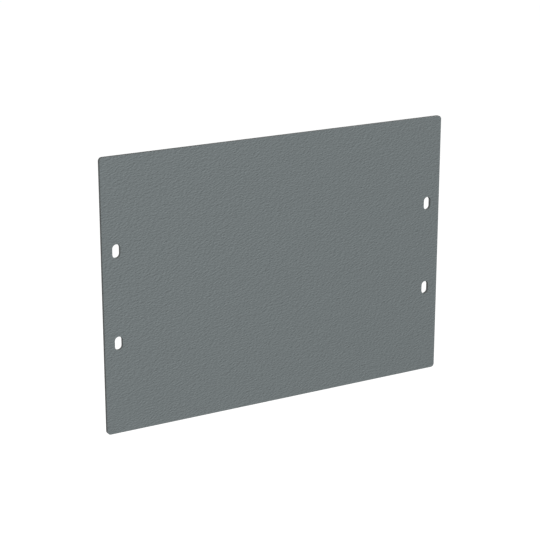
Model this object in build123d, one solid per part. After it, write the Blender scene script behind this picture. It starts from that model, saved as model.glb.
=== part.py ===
from build123d import *
import os

# Blanking panel: one flat sheet of coated steel that is screwed over an unused opening.
# Millimetres. +Z is up, +X is to the right seen from the front, +Y runs from front to back.
# The origin is the centre of the back face, which seats on the frame round the opening.

# Sheet
panel_width = 210.0
panel_height = 150.0
sheet_thickness = 2.0
corner_radius = 2.0

# Every cut edge is eased by deburring and by the coat that runs over it
edge_break = 0.1

# Fixing slots, upright, in one column beside each side edge, sized for M4 screws
slot_width = 4.5
slot_length = 7.5
slot_inset = 8.0
slot_pitch = 50.0
slot_columns = 2
slots_per_column = 2

# What follows from them
column_spacing = panel_width - 2 * slot_inset


def fixing_slots():
    """The obround cut-outs, long way up the panel so that it can be levelled on its screws."""
    places = GridLocations(column_spacing, slot_pitch, slot_columns, slots_per_column)
    return places * SlotOverall(slot_length, slot_width, rotation=90)


def front_view():
    """The panel as it is seen from the front: a sheet with rounded corners, less its slots."""
    sheet = RectangleRounded(panel_width, panel_height, corner_radius)
    return Plane.XZ * (sheet - fixing_slots())


def blanking_panel():
    """The sheet, cut through and then eased along every edge of its two faces."""
    blank = extrude(front_view(), sheet_thickness)
    back = blank.faces().sort_by(Axis.Y)[-1]
    front = blank.faces().sort_by(Axis.Y)[0]
    return fillet(front.edges() + back.edges(), edge_break)


os.makedirs("parts", exist_ok=True)
export_step(blanking_panel(), "parts/blanking_panel.step")
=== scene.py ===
import math

import bpy
from mathutils import Matrix, Vector


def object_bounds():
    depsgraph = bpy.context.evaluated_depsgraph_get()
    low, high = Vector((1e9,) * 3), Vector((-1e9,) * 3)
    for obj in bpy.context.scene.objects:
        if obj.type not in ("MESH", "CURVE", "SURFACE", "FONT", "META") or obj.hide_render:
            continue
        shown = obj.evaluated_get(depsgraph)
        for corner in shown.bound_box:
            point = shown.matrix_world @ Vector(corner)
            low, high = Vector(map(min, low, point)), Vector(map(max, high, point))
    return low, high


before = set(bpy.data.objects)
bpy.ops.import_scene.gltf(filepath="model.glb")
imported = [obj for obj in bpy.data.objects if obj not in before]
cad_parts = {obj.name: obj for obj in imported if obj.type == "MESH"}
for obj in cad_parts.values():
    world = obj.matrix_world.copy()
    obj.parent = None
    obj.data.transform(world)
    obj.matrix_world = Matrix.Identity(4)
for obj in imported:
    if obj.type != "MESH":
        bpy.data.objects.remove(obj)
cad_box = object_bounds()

# The panel stands upright in the XZ plane, with its front face towards -Y. Sizes are in metres.
# Places round it are given by azimuth and elevation in degrees: azimuth 0 is straight in front,
# and it grows towards +X.
low, high = cad_box
front_centre = Vector(((low.x + high.x) / 2, low.y, (low.z + high.z) / 2))

# Camera: a long lens, to the left of the panel and a little above it. It is slid sideways in its
# own plane, so that the panel sits in the frame where it does in the photograph.
camera_azimuth = -30.0
camera_elevation = 17.0
camera_distance = 0.9077
camera_slide_right = -0.0053
camera_slide_up = 0.00025
camera_near = 0.01
camera_far = 100.0
lens_mm = 111.1
sensor_mm = 36.0

# Stage: the panel hangs as it would on a rack, well above a white floor
white = (1.0, 1.0, 1.0)
backdrop_strength = 1.0
floor_drop = 1.0
floor_size = 40.0
floor_albedo = (0.5, 0.5, 0.5)
floor_glow = 0.95

# Light: one large soft box in front, a small one behind, and a little light from all round
world_strength = 0.10
key_azimuth = -30.51
key_elevation = 34.94
key_distance = 4.0
key_size = 1.3
key_power = 178.5
back_azimuth = 130.0
back_elevation = 5.0
back_distance = 2.1
back_size = 0.7
back_power = 38.0

# Coat: a matt blue-grey with faint clouds, and painted shade: a darker grey on the cut edges and
# in the slots. A wall is told from a face by how squarely it looks along Y.
coat_grey = (0.165, 0.187, 0.191)
coat_grey_in_clouds = (0.160, 0.181, 0.185)
# Painted shade: the darker grey that stands in for the shade on the cut edges and slot walls
painted_shade_grey = (0.118, 0.127, 0.125)
cut_wall_squareness = 0.3
flat_face_squareness = 0.8

# Grain of the coat: low hills, close together, that are a little longer along one slant than across
# it. The slant and the turn are in radians, and the turn keeps the faces off the noise's own grid.
grain_slant = (0.0, 0.13, 0.0)
grain_turn = (0.6, 0.35, 0.7)
grain_stretch = (0.46, 1.0, 1.0)
grain_size = 0.00074
grain_detail = 0.6
grain_roughness = 0.4
grain_height = 0.00045
grain_strength = 1.0

# Clouds of tone, and the specks that break up the gloss
cloud_size = 0.0075
speck_size = 0.0005
soft_detail = 1.0
soft_roughness = 0.5
coat_roughness = (0.60, 0.72)
coat_ior = 1.5
coat_specular = 0.045


def direction(azimuth, elevation):
    """The unit vector from the panel towards a place round it."""
    a = math.radians(azimuth)
    e = math.radians(elevation)
    return Vector((math.sin(a) * math.cos(e), -math.cos(a) * math.cos(e), math.sin(e)))


def aimed(place, target):
    """A matrix for a camera or lamp at place that looks at target with its top up."""
    turn = (target - place).to_track_quat("-Z", "Y")
    return Matrix.Translation(place) @ turn.to_matrix().to_4x4()


def opaque(colour):
    """The colour with the fourth number that colour sockets take."""
    return (*colour, 1.0)


def add_object(name, data):
    """A new object in the scene that shows the data."""
    made = bpy.data.objects.new(name, data)
    bpy.context.scene.collection.objects.link(made)
    return made


def make_camera():
    """The photograph's view of the panel."""
    data = bpy.data.cameras.new("camera")
    data.sensor_width = sensor_mm
    data.lens = lens_mm
    data.clip_start = camera_near
    data.clip_end = camera_far
    camera = add_object("camera", data)
    place = front_centre + direction(camera_azimuth, camera_elevation) * camera_distance
    stance = aimed(place, front_centre)
    slide = stance.to_3x3() @ Vector((camera_slide_right, camera_slide_up, 0.0))
    camera.matrix_world = Matrix.Translation(slide) @ stance
    bpy.context.scene.camera = camera


def make_lamp(name, azimuth, elevation, distance, size, power):
    """A plain square soft box, aimed at the middle of the panel."""
    data = bpy.data.lights.new(name, "AREA")
    data.shape = "SQUARE"
    data.size = size
    data.energy = power
    lamp = add_object(name, data)
    place = front_centre + direction(azimuth, elevation) * distance
    lamp.matrix_world = aimed(place, front_centre)


class Nodes:
    """Short calls for building a node tree."""

    def __init__(self, tree):
        tree.nodes.clear()
        self.tree = tree

    def add(self, kind, inputs=None, **settings):
        """A new node: its settings first, then each input, linked to a socket or given a value."""
        node = self.tree.nodes.new(kind)
        for name, value in settings.items():
            setattr(node, name, value)
        for key, value in (inputs or {}).items():
            if isinstance(value, bpy.types.NodeSocket):
                self.tree.links.new(value, node.inputs[key])
            else:
                node.inputs[key].default_value = value
        return node

    def compute(self, operation, *values):
        """What a Math node makes of one or two numbers or sockets."""
        node = self.add("ShaderNodeMath", dict(enumerate(values)), operation=operation)
        return node.outputs["Value"]

    def blend(self, factor, first, second):
        """A colour that goes from first to second as factor goes from 0 to 1."""
        inputs = {"Factor": factor, "A": first, "B": second}
        return self.add("ShaderNodeMix", inputs, data_type="RGBA").outputs["Result"]

    def remap(self, value, old_range, new_range):
        """The value carried over from one range to another, and held at its ends."""
        inputs = {
            "Value": value,
            "From Min": old_range[0],
            "From Max": old_range[1],
            "To Min": new_range[0],
            "To Max": new_range[1],
        }
        return self.add("ShaderNodeMapRange", inputs).outputs["Result"]

    def noise(self, place, size, detail, roughness):
        """Smooth noise whose largest hills are about size across."""
        inputs = {"Vector": place, "Scale": 1.0 / size, "Detail": detail, "Roughness": roughness}
        return self.add("ShaderNodeTexNoise", inputs).outputs["Fac"]

    def background(self, strength):
        """White light from the world."""
        inputs = {"Color": opaque(white), "Strength": strength}
        return self.add("ShaderNodeBackground", inputs).outputs["Background"]

    def shown_as(self, lighting, look):
        """A shader that lights the scene as lighting does.

        The camera, gloss and glass see look in its place.
        """
        path = self.add("ShaderNodeLightPath").outputs
        camera_or_gloss = self.compute("MAXIMUM", path["Is Camera Ray"], path["Is Glossy Ray"])
        seen = self.compute("MAXIMUM", camera_or_gloss, path["Is Transmission Ray"])
        inputs = {0: seen, 1: lighting, 2: look}
        return self.add("ShaderNodeMixShader", inputs).outputs["Shader"]


def make_world():
    """White where the camera looks past the floor, and a plain soft light everywhere else."""
    world = bpy.data.worlds.new("studio")
    bpy.context.scene.world = world
    world.use_nodes = True
    nodes = Nodes(world.node_tree)
    light = nodes.background(world_strength)
    backdrop = nodes.background(backdrop_strength)
    nodes.add("ShaderNodeOutputWorld", {"Surface": nodes.shown_as(light, backdrop)})


def floor_material():
    """Paint that looks white and sends little light to the panel, and that keeps a shadow."""
    material = bpy.data.materials.new("floor_white")
    material.use_nodes = True
    nodes = Nodes(material.node_tree)
    paint = nodes.add("ShaderNodeBsdfDiffuse", {"Color": opaque(floor_albedo)}).outputs["BSDF"]
    glowing = {"Color": opaque(white), "Strength": floor_glow}
    glow = nodes.add("ShaderNodeEmission", glowing).outputs["Emission"]
    bright = nodes.add("ShaderNodeAddShader", {0: paint, 1: glow}).outputs["Shader"]
    nodes.add("ShaderNodeOutputMaterial", {"Surface": nodes.shown_as(paint, bright)})
    return material


def make_floor():
    """One square under the panel, large enough to reach the horizon."""
    half = floor_size / 2
    level = low.z - floor_drop
    corners = [(x * half, y * half, level) for x, y in ((-1, -1), (1, -1), (1, 1), (-1, 1))]
    mesh = bpy.data.meshes.new("floor")
    mesh.from_pydata(corners, [], [(0, 1, 2, 3)])
    mesh.materials.append(floor_material())
    floor = add_object("floor", mesh)


def coat_tone(nodes, normal, grain_place):
    """Clouded grey on the two faces, and painted shade: a darker grey on the cut edges and slot
    walls.
    """
    clouds = nodes.noise(grain_place, cloud_size, soft_detail, soft_roughness)
    face_tone = nodes.blend(clouds, opaque(coat_grey), opaque(coat_grey_in_clouds))
    depth_part = nodes.add("ShaderNodeSeparateXYZ", {"Vector": normal}).outputs["Y"]
    squareness = nodes.compute("ABSOLUTE", depth_part)
    # Painted shade: the walls, which look little along Y, get the darker grey in place of their
    # shade
    painted_shade_on_walls = nodes.remap(squareness, (cut_wall_squareness, flat_face_squareness), (1.0, 0.0))
    return nodes.blend(painted_shade_on_walls, face_tone, opaque(painted_shade_grey))


def lifted_flanks(nodes, tone, bumped):
    """The tone, raised on the flanks of the grain by what their tilt takes away.

    The flanks light one another, which a bump alone leaves out.
    """
    true_normal = nodes.add("ShaderNodeNewGeometry").outputs["Normal"]
    tilt = nodes.add("ShaderNodeVectorMath", {0: bumped, 1: true_normal}, operation="DOT_PRODUCT")
    lift = nodes.compute("DIVIDE", 1.0, tilt.outputs["Value"])
    raised = nodes.add("ShaderNodeVectorMath", {0: tone, "Scale": lift}, operation="SCALE")
    return raised.outputs["Vector"]


def powder_coat():
    """Matt blue-grey powder coat with a fine grain, the same on every side of the sheet."""
    material = bpy.data.materials.new("powder_coat_structured")
    material.use_nodes = True
    nodes = Nodes(material.node_tree)
    texture = nodes.add("ShaderNodeTexCoord").outputs
    slant = {"Vector": texture["Object"], "Rotation": grain_slant}
    slanted = nodes.add("ShaderNodeMapping", slant).outputs["Vector"]
    turn = {"Vector": slanted, "Rotation": grain_turn, "Scale": grain_stretch}
    grain_place = nodes.add("ShaderNodeMapping", turn).outputs["Vector"]

    hills = nodes.noise(grain_place, grain_size, grain_detail, grain_roughness)
    bump = {"Strength": grain_strength, "Distance": grain_height, "Height": hills}
    bumped = nodes.add("ShaderNodeBump", bump).outputs["Normal"]
    specks = nodes.noise(grain_place, speck_size, soft_detail, soft_roughness)
    dullness = nodes.remap(specks, (0.0, 1.0), coat_roughness)
    tone = coat_tone(nodes, texture["Normal"], grain_place)

    coat = {
        "Base Color": lifted_flanks(nodes, tone, bumped),
        "Roughness": dullness,
        "Normal": bumped,
        "IOR": coat_ior,
        "Specular IOR Level": coat_specular,
    }
    surface = nodes.add("ShaderNodeBsdfPrincipled", coat).outputs["BSDF"]
    nodes.add("ShaderNodeOutputMaterial", {"Surface": surface})
    return material


def dress_panel():
    """The panel is the CAD solid itself, with the coat in its material slot."""
    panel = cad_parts["blanking_panel"]
    panel.material_slots[0].material = powder_coat()


make_camera()
make_world()
make_floor()
make_lamp("key", key_azimuth, key_elevation, key_distance, key_size, key_power)
make_lamp("back_fill", back_azimuth, back_elevation, back_distance, back_size, back_power)
dress_panel()

bpy.context.scene.view_settings.view_transform = "Standard"
